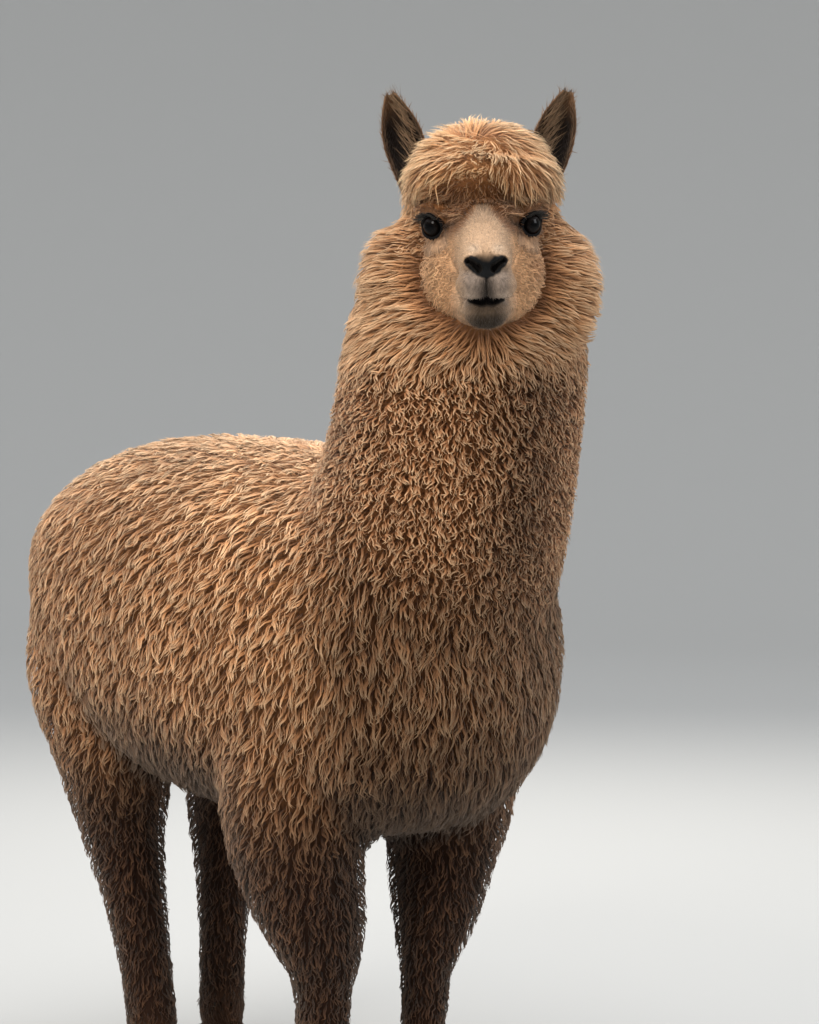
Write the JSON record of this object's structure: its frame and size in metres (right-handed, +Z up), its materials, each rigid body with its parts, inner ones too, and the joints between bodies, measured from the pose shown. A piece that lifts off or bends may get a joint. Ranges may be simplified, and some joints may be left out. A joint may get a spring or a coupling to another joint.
{
  "type": "alpaca",
  "caption": "Life-size fawn huacaya alpaca in full fleece, standing, its head turned to its right and its ears up, resting on flat soles",
  "frame": {"origin": "on the floor, under the middle of the animal's box", "axes": "+Z up, -Y the way the body faces, +X the animal's left"},
  "size_m": [0.5445, 1.2515, 1.4347],
  "materials": {
    "fleece": "long curly fawn fleece, matt",
    "face_fur": "short pale fawn hair with a dark grey-brown nose",
    "ear_fur": "short dark brown hair with paler edges",
    "leg_fur": "darker reddish brown hair",
    "eye": "wet, near-black gloss",
    "nail": "dark horn, satin"
  },
  "bodies": {
    "root": {"head": "face_fur", "neck": "fleece", "trunk": "fleece", "tail": "fleece", "ear_right": "ear_fur", "ear_left": "ear_fur", "eye_right": "eye", "eye_left": "eye", "leg_front_right_upper": "fleece", "leg_front_right_lower": "leg_fur", "leg_front_right_foot": "leg_fur", "nail_front_right_right": "nail", "nail_front_right_left": "nail", "leg_front_left_upper": "fleece", "leg_front_left_lower": "leg_fur", "leg_front_left_foot": "leg_fur", "nail_front_left_right": "nail", "nail_front_left_left": "nail", "leg_hind_right_upper": "fleece", "leg_hind_right_lower": "leg_fur", "leg_hind_right_foot": "leg_fur", "nail_hind_right_right": "nail", "nail_hind_right_left": "nail", "leg_hind_left_upper": "fleece", "leg_hind_left_lower": "leg_fur", "leg_hind_left_foot": "leg_fur", "nail_hind_left_right": "nail", "nail_hind_left_left": "nail"}
  },
  "joints": []
}
